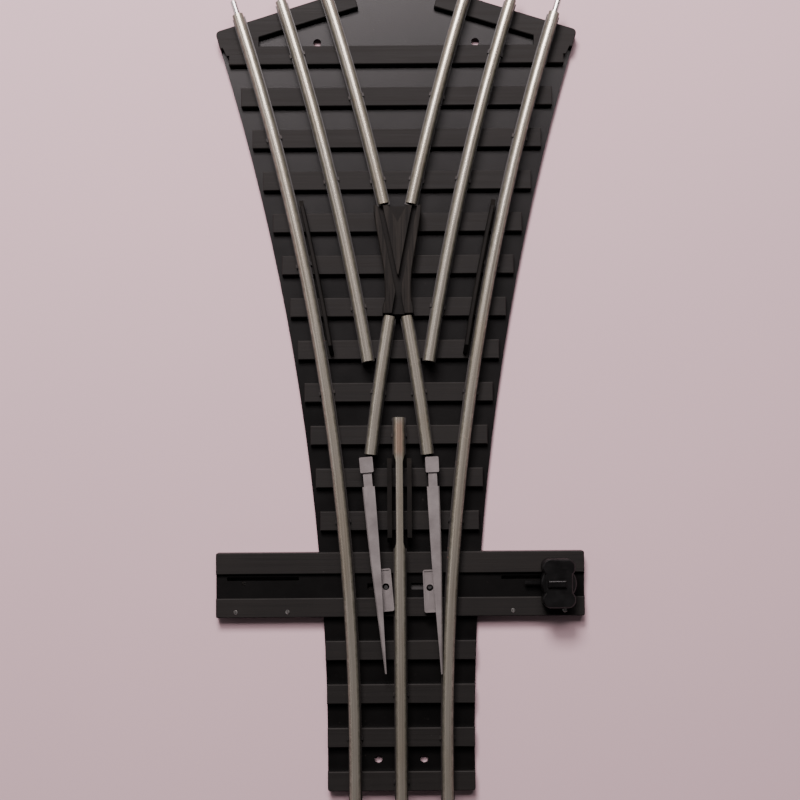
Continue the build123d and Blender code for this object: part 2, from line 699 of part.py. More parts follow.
def left_point_pivot():
    """Steel pivot with a head under the base, which the heel block turns on."""
    head = rod(-PIVOT_X, PIVOT_Y, PIVOT_HEAD_R, 0.2, WEB_UNDERSIDE)
    return rod(-PIVOT_X, PIVOT_Y, PIVOT_R, 0.3, BORE_TOP - 0.3) + head


# ---------------------------------------------------------------- hand throw


def throw_bar():
    """Sliding bar under the channel that moves both points."""
    low = PEG_Y - BAR_HALF_WIDTH
    high = PEG_Y + BAR_HALF_WIDTH
    bar = block(BAR_CENTRE - LAP_NEAR, BAR_CENTRE + LAP_FAR, low, high, BAR_BOTTOM, BAR_TOP)
    bar = bar - block(BAR_CENTRE + LAP_NEAR, BAR_CENTRE + LAP_FAR + 1, low - 1, high + 1, 0, LAP_Z)
    for x in (LEFT_PEG_X, RIGHT_PEG_X):
        bar = bar - rod(x, PEG_Y, PEG_R, 0, BAR_TOP + 1)
    return bar - rod(LAP_RIVET_X, PEG_Y, RIVET_R, 0, BAR_TOP + 1)


def drawbar():
    """Steel strip from the throw bar to a fork round the crank pin."""
    low = PEG_Y - BAR_HALF_WIDTH
    high = PEG_Y + BAR_HALF_WIDTH
    start = BAR_CENTRE + LAP_NEAR + 0.2
    half_slot = CRANK_PIN_R + FORK_GAP
    end = CRANK_PIN_X + half_slot + FORK_PRONG
    strip = block(start, end, low, high, BAR_BOTTOM, DRAWBAR_TOP)
    fork = block(CRANK_PIN_X - half_slot - FORK_PRONG, end, FORK_END, low + 1, BAR_BOTTOM, DRAWBAR_TOP)
    slot_far = CRANK_PIN_Y + CRANK_PIN_R + FORK_GAP
    slot = block(CRANK_PIN_X - half_slot, CRANK_PIN_X + half_slot, FORK_END - 1, slot_far, 0, DRAWBAR_TOP + 1)
    return strip + fork - slot - rod(LAP_RIVET_X, PEG_Y, RIVET_R, 0, DRAWBAR_TOP + 1)


def drawbar_rivet():
    """Rivet that joins throw bar and drawbar."""
    return rod(LAP_RIVET_X, PEG_Y, RIVET_R, BAR_BOTTOM, BAR_TOP)


def point_pegs():
    """Two pegs of the throw bar that stand in the ears of the points."""
    pegs = []
    for x in (LEFT_PEG_X, RIGHT_PEG_X):
        pegs.append(rod(x, PEG_Y, PEG_R, BAR_BOTTOM, PEG_TOP))
    return Compound(children=pegs)


def crank_disc():
    """Disc pressed on the foot of the knob shaft."""
    disc = rod(KNOB_X, KNOB_Y, CRANK_DISC_R, CRANK_LOW, CRANK_HIGH)
    shaft = rod(KNOB_X, KNOB_Y, SHAFT_R, UNDER, OVER)
    return disc - shaft - rod(CRANK_PIN_X, CRANK_PIN_Y, CRANK_PIN_R, UNDER, OVER)


def crank_pin():
    """Pin of the crank, which runs in the drawbar's fork."""
    return rod(CRANK_PIN_X, CRANK_PIN_Y, CRANK_PIN_R, BAR_BOTTOM, CRANK_HIGH)


def knob_shaft():
    """Steel shaft from the crank disc up into the knob."""
    return rod(KNOB_X, KNOB_Y, SHAFT_R, CRANK_LOW, KNOB_BORE_TOP)


def knob_bush():
    """Sleeve in the arm's floor that the knob shaft turns in."""
    sleeve = rod(KNOB_X, KNOB_Y, BUSH_R, CAVITY_TOP, TIE_TOP)
    return sleeve - rod(KNOB_X, KNOB_Y, SHAFT_R + RUNNING_GAP, 0, TIE_TOP + 1)


def throw_knob():
    """Finger grip with rounded ends, a hub that stands out of its sides and a ridge on top."""
    grip = Rectangle(2 * WAIST_HALF, 2 * GRIP_HALF_LENGTH - 4)
    for side in (-1, 1):
        lobe = Rectangle(2 * LOBE_HALF_WIDTH, 2 * LOBE_HALF_LENGTH)
        lobe = Pos(0, side * (GRIP_HALF_LENGTH - LOBE_HALF_LENGTH)) * fillet(lobe.vertices(), LOBE_R)
        grip = grip + lobe
    body = slab(grip, KNOB_BOTTOM + 1.0, GRIP_TOP)
    body = chamfer(body.edges().group_by(Axis.Z)[-1], KNOB_EDGE)
    hub = rod(0, 0, HUB_R, SKIRT_TOP - 1, HUB_TOP)
    hub = chamfer(hub.edges().group_by(Axis.Z)[-1], KNOB_EDGE)
    body = body + hub + rod(0, 0, SKIRT_R, KNOB_BOTTOM, SKIRT_TOP)
    ridge = block(RIDGE_NEAR, RIDGE_FAR, -RIDGE_HALF, RIDGE_HALF, GRIP_TOP, KNOB_TOP)
    ridge = fillet(ridge.edges().group_by(Axis.Z)[-1], 0.5)
    body = body + ridge
    body = body - rod(0, 0, SHAFT_R, 0, KNOB_BORE_TOP)
    return Pos(KNOB_X, KNOB_Y, 0) * body


def knob_pointer():
    """Thin bar on the skirt that shows which way the turnout is set."""
    near = KNOB_Y - POINTER_HALF
    far = KNOB_Y + POINTER_HALF
    bar = block(KNOB_X - POINTER_REACH, KNOB_X - SKIRT_R + 0.1, near, far, KNOB_BOTTOM, KNOB_BOTTOM + 1.0)
    return bar - rod(KNOB_X, KNOB_Y, SKIRT_R, 0, OVER)


def friction_spring():
    """Bowed leaf on edge between the cavity's wall and the drawbar, which holds the setting."""
    root = CAVITY_NEAR + 0.05
    crown = PEG_Y - BAR_HALF_WIDTH - 0.06
    middle = (SPRING_NEAR + SPRING_FAR) / 2
    edges = [
        ThreePointArc((SPRING_NEAR, root), (middle, crown - SPRING_THICK), (SPRING_FAR, root)),
        Line((SPRING_FAR, root), (SPRING_FAR, root + SPRING_THICK)),
        ThreePointArc((SPRING_FAR, root + SPRING_THICK), (middle, crown), (SPRING_NEAR, root + SPRING_THICK)),
        Line((SPRING_NEAR, root + SPRING_THICK), (SPRING_NEAR, root)),
    ]
    return slab(make_face(edges), BAR_BOTTOM, BAR_TOP)


# ------------------------------------------------------------ under the base
def mechanism_cover():
    """Sheet that closes the cavity under the arms."""
    gap = 0.15
    sheet = block(-COVER_HALF + gap, COVER_HALF - gap, COVER_NEAR + gap, COVER_FAR - gap, 0, COVER_THICK)
    for x in COVER_SCREWS_X:
        sheet = sheet - rod(x, COVER_SCREW_Y, SCREW_HEAD_R, UNDER, OVER)
    for x in COVER_RIVETS_X:
        sheet = sheet - rod(x, COVER_RIVET_Y, COVER_RIVET_R, UNDER, OVER)
    return sheet


def cover_rivets():
    """Rivets that hold the cover along its near edge; their heads show on the arms."""
    rivets = []
    for x in COVER_RIVETS_X:
        head = rod(x, COVER_RIVET_Y, COVER_RIVET_HEAD_R, TIE_TOP, TIE_TOP + COVER_RIVET_HEAD)
        head = chamfer(head.edges().group_by(Axis.Z)[-1], 0.12)
        rivets.append(head + rod(x, COVER_RIVET_Y, COVER_RIVET_R, 0, TIE_TOP))
    return Compound(children=rivets)


def cover_screws():
    """Flat-headed screws that hold the cover."""
    screws = []
    y = COVER_SCREW_Y
    for x in COVER_SCREWS_X:
        head = rod(x, y, SCREW_HEAD_R - 0.05, 0.05, COVER_THICK)
        slot = block(x - 2, x + 2, y - SCREW_SLOT_HALF, y + SCREW_SLOT_HALF, UNDER, 0.3)
        screws.append(head + rod(x, y, SCREW_R, COVER_THICK, SCREW_TIP - 0.2) - slot)
    return Compound(children=screws)


def running_bus_strap():
    """Strap that joins the two stock rails electrically."""
    running, center = strap_rivet_places()
    half = running[1][0] + 2.2
    near = RUNNING_STRAP_Y - STRAP_WIDTH / 2
    strap = block(-half, half, near, near + STRAP_WIDTH, STRAP_LOW, WEB_UNDERSIDE)
    for x, y in running:
        strap = strap - rod(x, y, RIVET_R, UNDER, OVER)
    return strap


def center_bus_strap():
    """Forked strap that joins the stem's power rail to the legs' power rails."""
    running, center = strap_rivet_places()
    root, leg = center[0], center[1]
    half = STRAP_WIDTH / 2
    outline = [
        (root[0] - half, root[1] - 2.4),
        (root[0] + half, root[1] - 2.4),
        (root[0] + half, root[1] + 1),
        (leg[0] + half, leg[1] + 2.4),
        (leg[0] - half, leg[1] + 2.4),
    ]
    arm = prism(outline, STRAP_LOW, WEB_UNDERSIDE)
    strap = arm + right_of(arm)
    for x, y in center:
        strap = strap - rod(x, y, RIVET_R, UNDER, OVER)
    return strap


def strap_rivets():
    """Rivets from the straps up to the rails' feet."""
    running, center = strap_rivet_places()
    return Compound(children=[rod(x, y, RIVET_R, STRAP_LOW, TIE_TOP) for x, y in running + center])


# -------------------------------------------------------------------- output
def all_nodes():
    """Every node's shape by name."""
    guard = right_center_guard()
    return {
        "tie_base": tie_base(),
        "left_stock_rail": left_stock_rail(),
        "right_stock_rail": right_of(left_stock_rail()),
        "stem_center_rail": stem_center_rail(),
        "left_leg_center_rail": left_leg_center_rail(),
        "right_leg_center_rail": right_of(left_leg_center_rail()),
        "left_leg_inner_rail": left_leg_inner_rail(),
        "right_leg_inner_rail": right_of(left_leg_inner_rail()),
        "right_closure_rail": closure_rail_of_left_leg(),
        "left_closure_rail": right_of(closure_rail_of_left_leg()),
        "rail_pins": leg_rail_pins(),
        "rail_clips": rail_clips(),
        "frog": frog(),
        "left_guard_rail": left_guard_rail(),
        "right_guard_rail": right_of(left_guard_rail()),
        "right_center_guard": guard,
        "left_center_guard": right_of(guard),
        "left_point": left_point(),
        "right_point": right_point(),
        "left_point_pivot": left_point_pivot(),
        "right_point_pivot": right_of(left_point_pivot()),
        "throw_bar": throw_bar(),
        "drawbar": drawbar(),
        "drawbar_rivet": drawbar_rivet(),
        "point_pegs": point_pegs(),
        "crank_disc": crank_disc(),
        "crank_pin": crank_pin(),
        "knob_shaft": knob_shaft(),
        "knob_bush": knob_bush(),
        "throw_knob": throw_knob(),
        "knob_pointer": knob_pointer(),
        "friction_spring": friction_spring(),
        "mechanism_cover": mechanism_cover(),
        "cover_rivets": cover_rivets(),
        "cover_screws": cover_screws(),
        "running_bus_strap": running_bus_strap(),
        "center_bus_strap": center_bus_strap(),
        "strap_rivets": strap_rivets(),
    }


def export_all():
    """Write one STEP file per node, with the origin centred in plan."""
    os.makedirs("parts", exist_ok=True)
    nodes = all_nodes()
    box = nodes["rail_pins"].bounding_box()
    centre_y = (box.max.Y - RAIL_OVERHANG) / 2
    print("centre_y", round(centre_y, 4), "throw", round(THROW, 4))
    print("pegs", round(LEFT_PEG_X, 3), round(RIGHT_PEG_X, 3), round(PEG_Y, 3))
    for name, shape in nodes.items():
        export_step(Pos(0, -centre_y, 0) * shape, f"parts/{name}.step")


export_all()
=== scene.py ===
import math

import bpy
from mathutils import Matrix, Vector


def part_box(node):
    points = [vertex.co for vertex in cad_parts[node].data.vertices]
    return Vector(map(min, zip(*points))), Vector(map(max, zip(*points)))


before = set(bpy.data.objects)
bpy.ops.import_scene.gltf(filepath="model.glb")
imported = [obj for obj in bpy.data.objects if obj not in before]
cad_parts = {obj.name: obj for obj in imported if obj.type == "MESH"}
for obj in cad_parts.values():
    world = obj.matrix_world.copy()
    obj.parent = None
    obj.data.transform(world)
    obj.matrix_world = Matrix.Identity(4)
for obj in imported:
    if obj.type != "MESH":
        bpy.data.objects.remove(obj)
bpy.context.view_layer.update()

MM = 0.001

# Places taken from the frame
BASE_LOW, BASE_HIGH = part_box("tie_base")
TIE_TOP = BASE_HIGH[2]
STEM_END = BASE_LOW[1]
RAIL_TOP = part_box("left_stock_rail")[1][2]

# The legs' curve, in the frame's metres
CURVE_RADIUS = 0.990
CURVE_START = STEM_END + 14.4 * MM
LEFT_CURVE = (-CURVE_RADIUS, CURVE_START, 0.0)
RIGHT_CURVE = (CURVE_RADIUS, CURVE_START, 0.0)

# Stretch of the stem's power rail where the plating has turned coppery, and how softly it ends
BLUSH = (STEM_END + 133 * MM, STEM_END + 143 * MM)
BLUSH_FADE = 3 * MM

# Heights between which one look gives way to another
TIE_FACE = (TIE_TOP - 0.7 * MM, TIE_TOP - 0.3 * MM)
TIE_EDGE = (TIE_TOP - 0.8 * MM, TIE_TOP - 0.5 * MM)
WHEEL_RUB = (RAIL_TOP - 0.9 * MM, RAIL_TOP - 0.3 * MM)
# RAIL_FLANK: heights where the painted shade on the sides of the rail head fades in
RAIL_FLANK = (RAIL_TOP - 0.06 * MM, RAIL_TOP - 0.55 * MM)
# RAIL_FOOT: heights where the painted shade under the rail head takes over
RAIL_FOOT = (RAIL_TOP - 2.4 * MM, RAIL_TOP - 3.6 * MM)

# How slowly the drawn lines change along a rail, against across it
DRAWN_ALONG = 0.012


def grey(value, warmth=0.0):
    """Grey with a little red added and blue taken away."""
    return (value * (1 + warmth), value, value * (1 - warmth), 1.0)


# Colours of the plastics
TIE_DARK, TIE_LIGHT = grey(0.0040, 0.10), grey(0.0072, 0.12)
TIE_BLOTCH = grey(0.0095, 0.12)
TIE_WORN = grey(0.016, 0.08)
# Web colours darker than the tie tops: painted shade in the recesses between the ties
SHADED_WEB_DARK, SHADED_WEB_LIGHT = grey(0.0014, 0.04), grey(0.0028, 0.06)
DUST = grey(0.11, 0.08)
FITTING_DARK, FITTING_LIGHT = grey(0.0036, 0.10), grey(0.0070, 0.14)
FITTING_RUBBED = grey(0.024, 0.16)
KNOB_BLACK, KNOB_SCUFF = grey(0.0015), grey(0.014, 0.02)
NYLON_DARK, NYLON_LIGHT = grey(0.008, 0.02), grey(0.018, 0.03)

# Colours of the metals
TIN_DARK, TIN_LIGHT = (0.465, 0.435, 0.360, 1), (0.635, 0.605, 0.515, 1)
TIN_TARNISH = (0.40, 0.345, 0.25, 1)
COPPERY = (0.62, 0.33, 0.20, 1)
# Painted shade on the sides of the rail head below the crown, with some dirt
FLANK_SHADE_AND_DIRT = (0.104, 0.100, 0.076, 1)
# Painted shade: near-black web and foot in the shade under the rail head
FOOT_SHADE = (0.012, 0.0095, 0.008, 1)
RUST = (0.20, 0.085, 0.04, 1)
CAST_DARK, CAST_LIGHT = (0.127, 0.115, 0.113, 1), (0.175, 0.159, 0.156, 1)
CAST_SCRATCH = (0.30, 0.275, 0.265, 1)
CAST_PIT = (0.09, 0.083, 0.08, 1)
CLIP_DARK, CLIP_LIGHT = (0.014, 0.0135, 0.014, 1), (0.030, 0.026, 0.023, 1)
CLIP_WORN = (0.10, 0.075, 0.055, 1)
STEEL_DARK, STEEL_LIGHT = (0.52, 0.51, 0.49, 1), (0.74, 0.73, 0.71, 1)
STEEL_SPOT = (0.22, 0.16, 0.11, 1)
# Near-black sheet colours: painted shade for the dark seen through the arm slots
SHEET_DARK, SHEET_LIGHT = (0.020, 0.0185, 0.0175, 1), (0.036, 0.033, 0.030, 1)
SHEET_BLOOM = (0.052, 0.040, 0.031, 1)
SHEET_WORN = (0.16, 0.15, 0.14, 1)
BRASS_DARK, BRASS_LIGHT = (0.56, 0.40, 0.17, 1), (0.72, 0.54, 0.26, 1)
BRASS_BLOOM = (0.25, 0.15, 0.07, 1)

# Floor
FLOOR_HALF = 3.0
FLOOR_DROP = 0.02 * MM
FLOOR_DARK, FLOOR_LIGHT = (0.485, 0.345, 0.375, 1), (0.515, 0.370, 0.400, 1)

# Area lights: name, direction from the part, distance, width, height, power, colour
ROSE, PALE_ROSE = (1.0, 0.90, 0.915), (1.0, 0.92, 0.94)
LIGHTS = (
    ("window", (-0.14, 0.72, 0.68), 1.0, 0.35, 0.22, 20.0, ROSE),
    ("ceiling", (-0.04, 0.54, 0.84), 1.3, 1.0, 0.34, 14.0, ROSE),
    ("left_side", (-0.92, 0.15, 0.40), 1.3, 0.6, 0.6, 1.6, PALE_ROSE),
    ("right_side", (0.92, 0.10, 0.40), 1.3, 0.6, 0.6, 0.5, PALE_ROSE),
    ("stem_side", (-0.15, -0.95, 0.34), 1.3, 0.8, 0.4, 1.0, PALE_ROSE),
)
ROOM_COLOUR = (1.0, 0.94, 0.955, 1)
ROOM_STRENGTH = 0.03

# Camera, fitted to the photograph's rails and ties
AIM = Vector((0.48, -6.32, 10.0)) * MM
CAMERA_DISTANCE = 0.50
CAMERA_TILT = math.radians(2.45)
CAMERA_ROLL = math.radians(-0.43)
LENS = 57.4
SENSOR = 36.0
NEAR_CLIP = 0.01


# ----------------------------------------------------------- node shorthand
class Shader:
    """A material's node tree with short calls for the nodes used here."""

    SOCKETS = {
        "colour": "Base Color",
        "rough": "Roughness",
        "metal": "Metallic",
        "specular": "Specular IOR Level",
    }

    def __init__(self, name):
        self.material = bpy.data.materials.new(name)
        self.material.use_nodes = True
        self.tree = self.material.node_tree
        self.bsdf = self.tree.nodes["Principled BSDF"]
        self.place = self.node("ShaderNodeTexCoord").outputs["Object"]

    def node(self, kind, **values):
        made = self.tree.nodes.new(kind)
        for key, value in values.items():
            setattr(made, key, value)
        return made

    def link(self, source, socket):
        self.tree.links.new(source, socket)

    def feed(self, socket, value):
        """Link a socket, or set a plain number or colour."""
        if isinstance(value, bpy.types.NodeSocket):
            self.link(value, socket)
        else:
            socket.default_value = value

    def math(self, operation, a, b):
        made = self.node("ShaderNodeMath", operation=operation)
        self.feed(made.inputs[0], a)
        self.feed(made.inputs[1], b)
        return made.outputs[0]

    def times(self, a, b):
        return self.math("MULTIPLY", a, b)

    def plus(self, a, b):
        return self.math("ADD", a, b)

    def opposite(self, share):
        """1 where the share is 0, and 0 where it is 1."""
        return self.math("SUBTRACT", 1.0, share)

    def axis(self, index, vector=None):
        """One coordinate of a vector, or of the place on the object."""
        made = self.node("ShaderNodeSeparateXYZ")
        self.link(vector or self.place, made.inputs[0])
        return made.outputs[index]

    def vector(self, x, y, z):
        made = self.node("ShaderNodeCombineXYZ")
        for socket, value in zip(made.inputs, (x, y, z)):
            self.feed(socket, value)
        return made.outputs[0]

    def stretched(self, x, y, z):
        """Object coordinates times a scale along each axis."""
        made = self.node("ShaderNodeMapping", vector_type="TEXTURE")
        self.link(self.place, made.inputs["Vector"])
        made.inputs["Scale"].default_value = (1 / x, 1 / y, 1 / z)
        return made.outputs[0]

    def noise(self, scale, vector=None, detail=4.0, roughness=0.55, distortion=0.0):
        made = self.node("ShaderNodeTexNoise")
        self.link(vector or self.place, made.inputs["Vector"])
        made.inputs["Scale"].default_value = scale
        made.inputs["Detail"].default_value = detail
        made.inputs["Roughness"].default_value = roughness
        made.inputs["Distortion"].default_value = distortion
        return made.outputs["Fac"]

    def ramp(self, value, low, high, to_low=0.0, to_high=1.0):
        """Straight line between two input values, held outside them."""
        made = self.node("ShaderNodeMapRange")
        self.feed(made.inputs["Value"], value)
        made.inputs["From Min"].default_value = low
        made.inputs["From Max"].default_value = high
        made.inputs["To Min"].default_value = to_low
        made.inputs["To Max"].default_value = to_high
        return made.outputs["Result"]

    def mix(self, factor, a, b):
        """Mix of two colours."""
        made = self.node("ShaderNodeMix", data_type="RGBA")
        self.feed(made.inputs["Factor"], factor)
        self.feed(made.inputs["A"], a)
        self.feed(made.inputs["B"], b)
        return made.outputs["Result"]

    def up_facing(self, low=0.5, high=0.95):
        """1 where the surface looks up."""
        normal = self.node("ShaderNodeNewGeometry").outputs["Normal"]
        return self.ramp(self.axis(2, normal), low, high)

    def bump(self, height, strength, distance):
        made = self.node("ShaderNodeBump")
        made.inputs["Strength"].default_value = strength
        made.inputs["Distance"].default_value = distance
        self.link(height, made.inputs["Height"])
        self.link(made.outputs["Normal"], self.bsdf.inputs["Normal"])

    def set(self, **values):
        """Feed the shader's own sockets, by their short names."""
        for key, value in values.items():
            self.feed(self.bsdf.inputs[self.SOCKETS[key]], value)


# ---------------------------------------------------------------- materials
def moulded_base():
    """Black moulded base: grained, dull tie tops over a smoother, shinier web, the web coloured darker than
    the tie tops as painted shade in the recesses between them.
    """
    s = Shader("moulded_base")
    height = s.axis(2)
    top = s.ramp(height, *TIE_FACE)
    grain = s.noise(300, s.stretched(0.06, 2.4, 1.0), detail=6.0, roughness=0.65, distortion=0.6)
    blotch = s.noise(38, detail=5.0, roughness=0.6)
    dust = s.noise(620, detail=3.0, roughness=0.7)
    rub = s.noise(150, s.stretched(1.0, 0.4, 1.0), detail=6.0, roughness=0.7)
    tie_colour = s.mix(s.ramp(grain, 0.3, 0.7), TIE_DARK, TIE_LIGHT)
    tie_colour = s.mix(s.ramp(blotch, 0.42, 0.75, 0.0, 0.5), tie_colour, TIE_BLOTCH)
    edge = s.opposite(s.up_facing(0.86, 0.99))
    raised = s.ramp(height, *TIE_EDGE)
    worn = s.times(s.times(edge, raised), s.ramp(rub, 0.4, 0.65, 0.2, 1.0))
    tie_colour = s.mix(s.times(worn, 0.6), tie_colour, TIE_WORN)
    # Painted shade: the web between the ties is coloured darker than the tie tops
    shaded_web_colour = s.mix(s.ramp(blotch, 0.35, 0.7), SHADED_WEB_DARK, SHADED_WEB_LIGHT)
    colour = s.mix(top, shaded_web_colour, tie_colour)
    speck = s.times(s.ramp(dust, 0.70, 0.78), s.up_facing())
    s.set(colour=s.mix(s.times(speck, 0.22), colour, DUST))
    web_rough = s.ramp(blotch, 0.3, 0.7, 0.33, 0.39)
    tie_rough = s.ramp(grain, 0.3, 0.7, 0.66, 0.78)
    web_share = s.times(web_rough, s.opposite(top))
    s.set(rough=s.plus(web_share, s.times(tie_rough, top)), specular=0.20)
    fine = s.noise(2200, detail=2.0)
    s.bump(s.plus(s.times(grain, top), s.times(fine, 0.25)), 0.35, 0.25 * MM)
    return s.material


def black_fittings():
    """Frog and guards: satin black plastic, rubbed where it comes near the rails' height."""
    s = Shader("black_fittings")
    blotch = s.noise(90, detail=5.0, roughness=0.6)
    scrape = s.noise(900, s.stretched(1.0, 0.03, 1.0), detail=4.0, roughness=0.7)
    rubbed = s.times(s.ramp(s.axis(2), *WHEEL_RUB), s.ramp(scrape, 0.42, 0.68))
    colour = s.mix(s.ramp(blotch, 0.35, 0.7), FITTING_DARK, FITTING_LIGHT)
    s.set(colour=s.mix(s.times(rubbed, 0.6), colour, FITTING_RUBBED))
    dullness = s.plus(blotch, s.times(rubbed, 0.2))
    s.set(rough=s.ramp(dullness, 0.3, 0.8, 0.52, 0.66), specular=0.085)
    s.bump(s.plus(s.noise(1500, detail=2.0), s.times(scrape, 0.6)), 0.2, 0.15 * MM)
    return s.material


def tinplate(name, curve_centre, blush=None):
    """Tin-plated rail: drawn lines along it, a polished crown, flanks darkened by painted shade with some
    dirt, web and foot painted near black as shade under the head, and maybe a copper blush.
    """
    s = Shader(name)
    height = s.axis(2)
    if curve_centre:
        reach = s.node("ShaderNodeVectorMath", operation="DISTANCE")
        flat = s.vector(s.axis(0), s.axis(1), 0.0)
        s.link(flat, reach.inputs[0])
        reach.inputs[1].default_value = curve_centre
        across = reach.outputs["Value"]
    else:
        across = s.axis(0)
    lines = s.vector(across, s.times(s.axis(1), DRAWN_ALONG), height)
    drawn = s.noise(2600, lines, detail=5.0, roughness=0.65)
    tarnish = s.noise(70, s.stretched(1.0, 0.35, 1.0), detail=6.0, roughness=0.62, distortion=0.4)
    spots = s.noise(420, detail=4.0, roughness=0.7)
    colour = s.mix(s.ramp(drawn, 0.3, 0.7), TIN_DARK, TIN_LIGHT)
    colour = s.mix(s.ramp(tarnish, 0.45, 0.72, 0.0, 0.6), colour, TIN_TARNISH)
    if blush:
        low, high = blush
        near = s.ramp(s.axis(1), low - BLUSH_FADE, low)
        far = s.ramp(s.axis(1), high + BLUSH_FADE, high)
        colour = s.mix(s.times(s.times(near, far), 0.45), colour, COPPERY)
    # Painted shade: the sides of the head below the crown are darkened, with some dirt, flecked by the
    # spots
    flank_shade_and_dirt = s.times(s.ramp(height, *RAIL_FLANK), s.ramp(spots, 0.25, 0.6, 0.62, 0.95))
    colour = s.mix(flank_shade_and_dirt, colour, FLANK_SHADE_AND_DIRT)
    # Painted shade: the web and foot under the head go near black and lose their metal
    foot_shade = s.ramp(height, *RAIL_FOOT)
    colour = s.mix(foot_shade, colour, FOOT_SHADE)
    rust = s.times(s.ramp(spots, 0.63, 0.72), s.ramp(tarnish, 0.5, 0.6))
    s.set(colour=s.mix(s.times(rust, 0.55), colour, RUST))
    cover = s.plus(s.times(flank_shade_and_dirt, 0.5), s.times(rust, 0.6))
    s.set(metal=s.times(s.ramp(cover, 0.0, 1.0, 0.85, 0.30), s.opposite(foot_shade)))
    dullness = s.plus(s.times(drawn, 0.5), s.times(tarnish, 0.5))
    polish = s.ramp(dullness, 0.35, 0.7, 0.21, 0.30)
    s.set(rough=s.plus(polish, s.times(flank_shade_and_dirt, 0.26)))
    s.bump(s.plus(drawn, s.times(rust, 0.8)), 0.18, 0.08 * MM)
    return s.material


def die_cast():
    """Matt grey die casting with lighter scratches and dark pits."""
    s = Shader("die_cast")
    blotch = s.noise(120, detail=6.0, roughness=0.6)
    scratch = s.noise(1300, s.stretched(1.0, 0.05, 1.0), detail=4.0, roughness=0.7)
    pits = s.noise(1800, detail=3.0, roughness=0.6)
    colour = s.mix(s.ramp(blotch, 0.35, 0.7), CAST_DARK, CAST_LIGHT)
    colour = s.mix(s.ramp(scratch, 0.6, 0.72, 0.0, 0.5), colour, CAST_SCRATCH)
    colour = s.mix(s.ramp(pits, 0.66, 0.74, 0.0, 0.7), colour, CAST_PIT)
    dullness = s.plus(blotch, s.times(scratch, -0.25))
    s.set(colour=colour, metal=0.35, rough=s.ramp(dullness, 0.1, 0.6, 0.42, 0.60))
    s.bump(s.plus(pits, s.times(scratch, 0.5)), 0.3, 0.1 * MM)
    return s.material


def blued_clips():
    """Blued spring steel of the rail clips, worn brown in spots."""
    s = Shader("blued_clips")
    blotch = s.noise(420, detail=5.0, roughness=0.65)
    worn = s.noise(1500, detail=4.0, roughness=0.7)
    colour = s.mix(s.ramp(blotch, 0.35, 0.7), CLIP_DARK, CLIP_LIGHT)
    s.set(colour=s.mix(s.ramp(worn, 0.60, 0.75, 0.0, 0.6), colour, CLIP_WORN))
    s.set(metal=0.6, rough=s.ramp(blotch, 0.3, 0.7, 0.45, 0.62))
    s.bump(worn, 0.2, 0.05 * MM)
    return s.material


def glossy_knob():
    """Semi-gloss black plastic with lighter scuffs."""
    s = Shader("glossy_knob")
    blotch = s.noise(160, detail=5.0, roughness=0.6)
    scuff = s.noise(1100, s.stretched(0.2, 1.0, 1.0), detail=4.0, roughness=0.75)
    s.set(colour=s.mix(s.ramp(scuff, 0.60, 0.74, 0.0, 0.5), KNOB_BLACK, KNOB_SCUFF))
    s.set(rough=s.ramp(blotch, 0.3, 0.7, 0.28, 0.42), specular=0.35)
    s.bump(s.plus(s.noise(1600, detail=2.0), scuff), 0.12, 0.1 * MM)
    return s.material


def drawn_steel():
    """Bright steel of pins, rivets and screws, faintly spotted."""
    s = Shader("drawn_steel")
    turned = s.noise(2400, s.stretched(1.0, 0.2, 0.2), detail=4.0, roughness=0.6)
    spots = s.noise(500, detail=4.0, roughness=0.7)
    colour = s.mix(s.ramp(turned, 0.3, 0.7), STEEL_DARK, STEEL_LIGHT)
    s.set(colour=s.mix(s.ramp(spots, 0.62, 0.75, 0.0, 0.7), colour, STEEL_SPOT))
    s.set(metal=s.ramp(spots, 0.62, 0.8, 1.0, 0.5), rough=s.ramp(turned, 0.3, 0.7, 0.22, 0.38))
    s.bump(turned, 0.15, 0.06 * MM)
    return s.material


def sheet_darkened_as_shade():
    """Sheet steel of cover, crank, drawbar and leaf, coloured near black as painted shade for the dark seen
    through the arm slots, worn grey in rolling lines.
    """
    s = Shader("sheet_darkened_as_shade")
    rolled = s.noise(1500, s.stretched(0.04, 1.0, 1.0), detail=5.0, roughness=0.6)
    bloom = s.noise(60, detail=6.0, roughness=0.65, distortion=0.5)
    colour = s.mix(s.ramp(rolled, 0.3, 0.7), SHEET_DARK, SHEET_LIGHT)
    colour = s.mix(s.ramp(bloom, 0.5, 0.75, 0.0, 0.6), colour, SHEET_BLOOM)
    s.set(colour=s.mix(s.ramp(rolled, 0.68, 0.80, 0.0, 0.6), colour, SHEET_WORN))
    s.set(metal=0.5, rough=s.ramp(s.plus(rolled, bloom), 0.7, 1.3, 0.42, 0.58))
    s.bump(rolled, 0.2, 0.06 * MM)
    return s.material


def moulded_nylon():
    """Dull black nylon of the sliding bar, its pegs and the knob's bush."""
    s = Shader("moulded_nylon")
    blotch = s.noise(200, detail=4.0, roughness=0.6)
    s.set(colour=s.mix(blotch, NYLON_DARK, NYLON_LIGHT), rough=s.ramp(blotch, 0.3, 0.7, 0.48, 0.62))
    s.bump(s.noise(1900, detail=3.0), 0.25, 0.1 * MM)
    return s.material


def dull_brass():
    """Stamped brass of the straps and their rivets, with brown bloom."""
    s = Shader("dull_brass")
    rolled = s.noise(1500, s.stretched(0.05, 1.0, 1.0), detail=5.0, roughness=0.6)
    bloom = s.noise(110, detail=6.0, roughness=0.65, distortion=0.6)
    colour = s.mix(s.ramp(rolled, 0.3, 0.7), BRASS_DARK, BRASS_LIGHT)
    s.set(colour=s.mix(s.ramp(bloom, 0.45, 0.72, 0.0, 0.7), colour, BRASS_BLOOM))
    s.set(metal=1.0, rough=s.ramp(bloom, 0.3, 0.75, 0.28, 0.52))
    s.bump(rolled, 0.2, 0.06 * MM)
    return s.material


def paint(material, *nodes):
    """Give CAD nodes a material."""
    for name in nodes:
        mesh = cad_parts[name].data
        mesh.materials.clear()
        mesh.materials.append(material)


